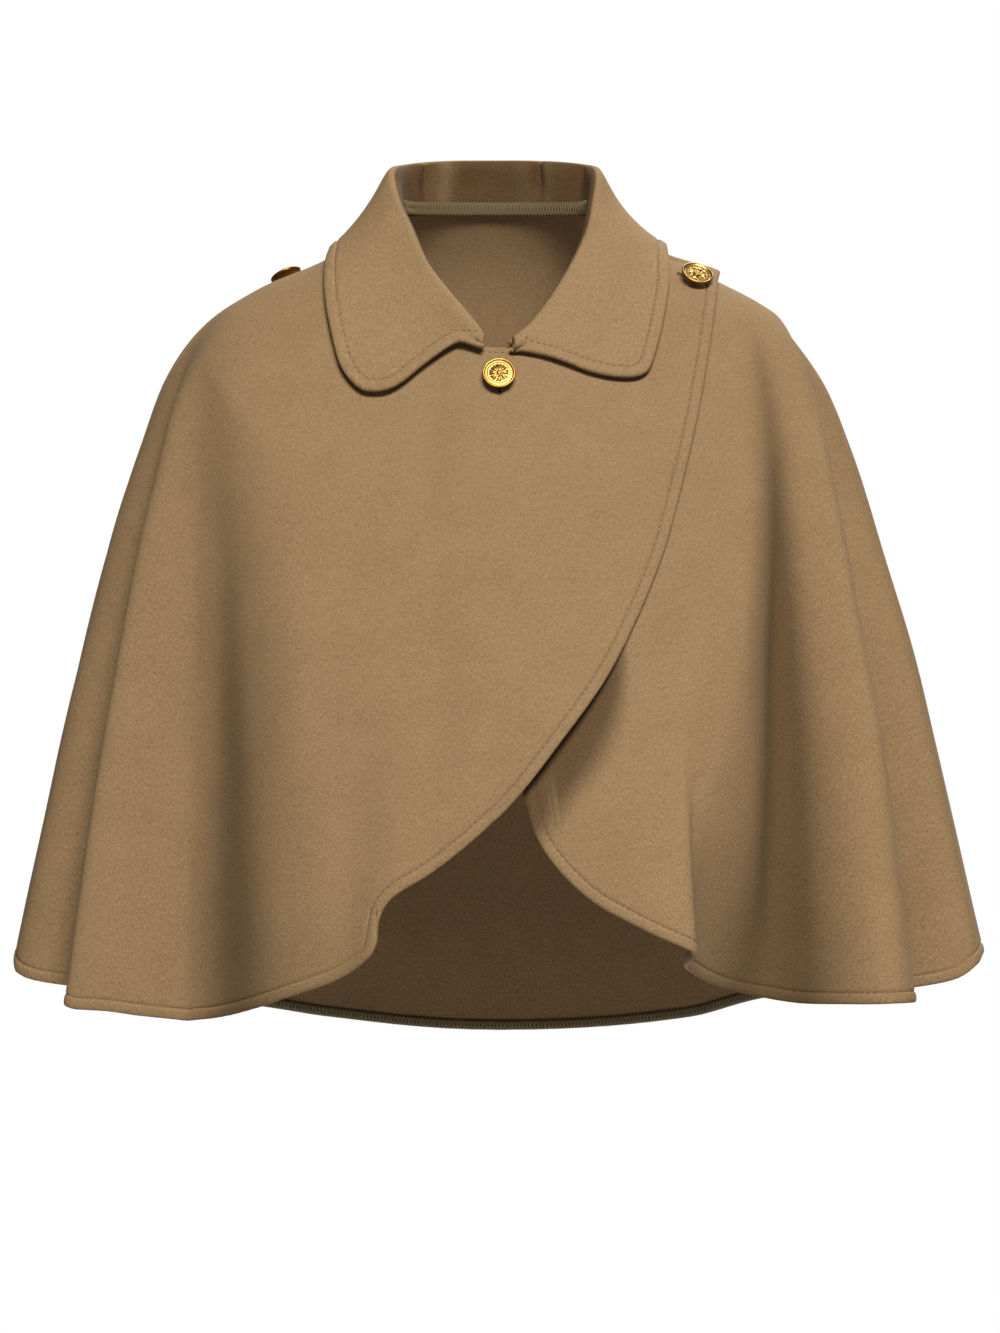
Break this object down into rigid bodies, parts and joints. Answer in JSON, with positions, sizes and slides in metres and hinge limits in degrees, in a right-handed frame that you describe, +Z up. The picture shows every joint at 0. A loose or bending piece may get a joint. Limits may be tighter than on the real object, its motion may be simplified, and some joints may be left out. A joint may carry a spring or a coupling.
{
  "type": "wool cape",
  "caption": "Short camel wool cape, worn form, with wrapped curved front, turn-down collar and gold shank buttons",
  "frame": {"origin": "middle of the neck hole, at the height where the cape lies on the shoulders beside the neck", "axes": "+X to the wearer's left, which is the right of the picture; -Y to the front, out of the picture; +Z up"},
  "size_m": [0.6007, 0.3257, 0.5554],
  "materials": {
    "wool": "brushed camel wool coating with a short matt nap, the same on both faces",
    "gold_metal": "polished gold-coloured cast button with a raised rim"
  },
  "bodies": {
    "root": {"right_front": "wool", "left_front": "wool", "back": "wool", "collar": "wool", "neck_button": "gold_metal", "left_shoulder_button": "gold_metal", "right_shoulder_button": "gold_metal"}
  },
  "joints": []
}
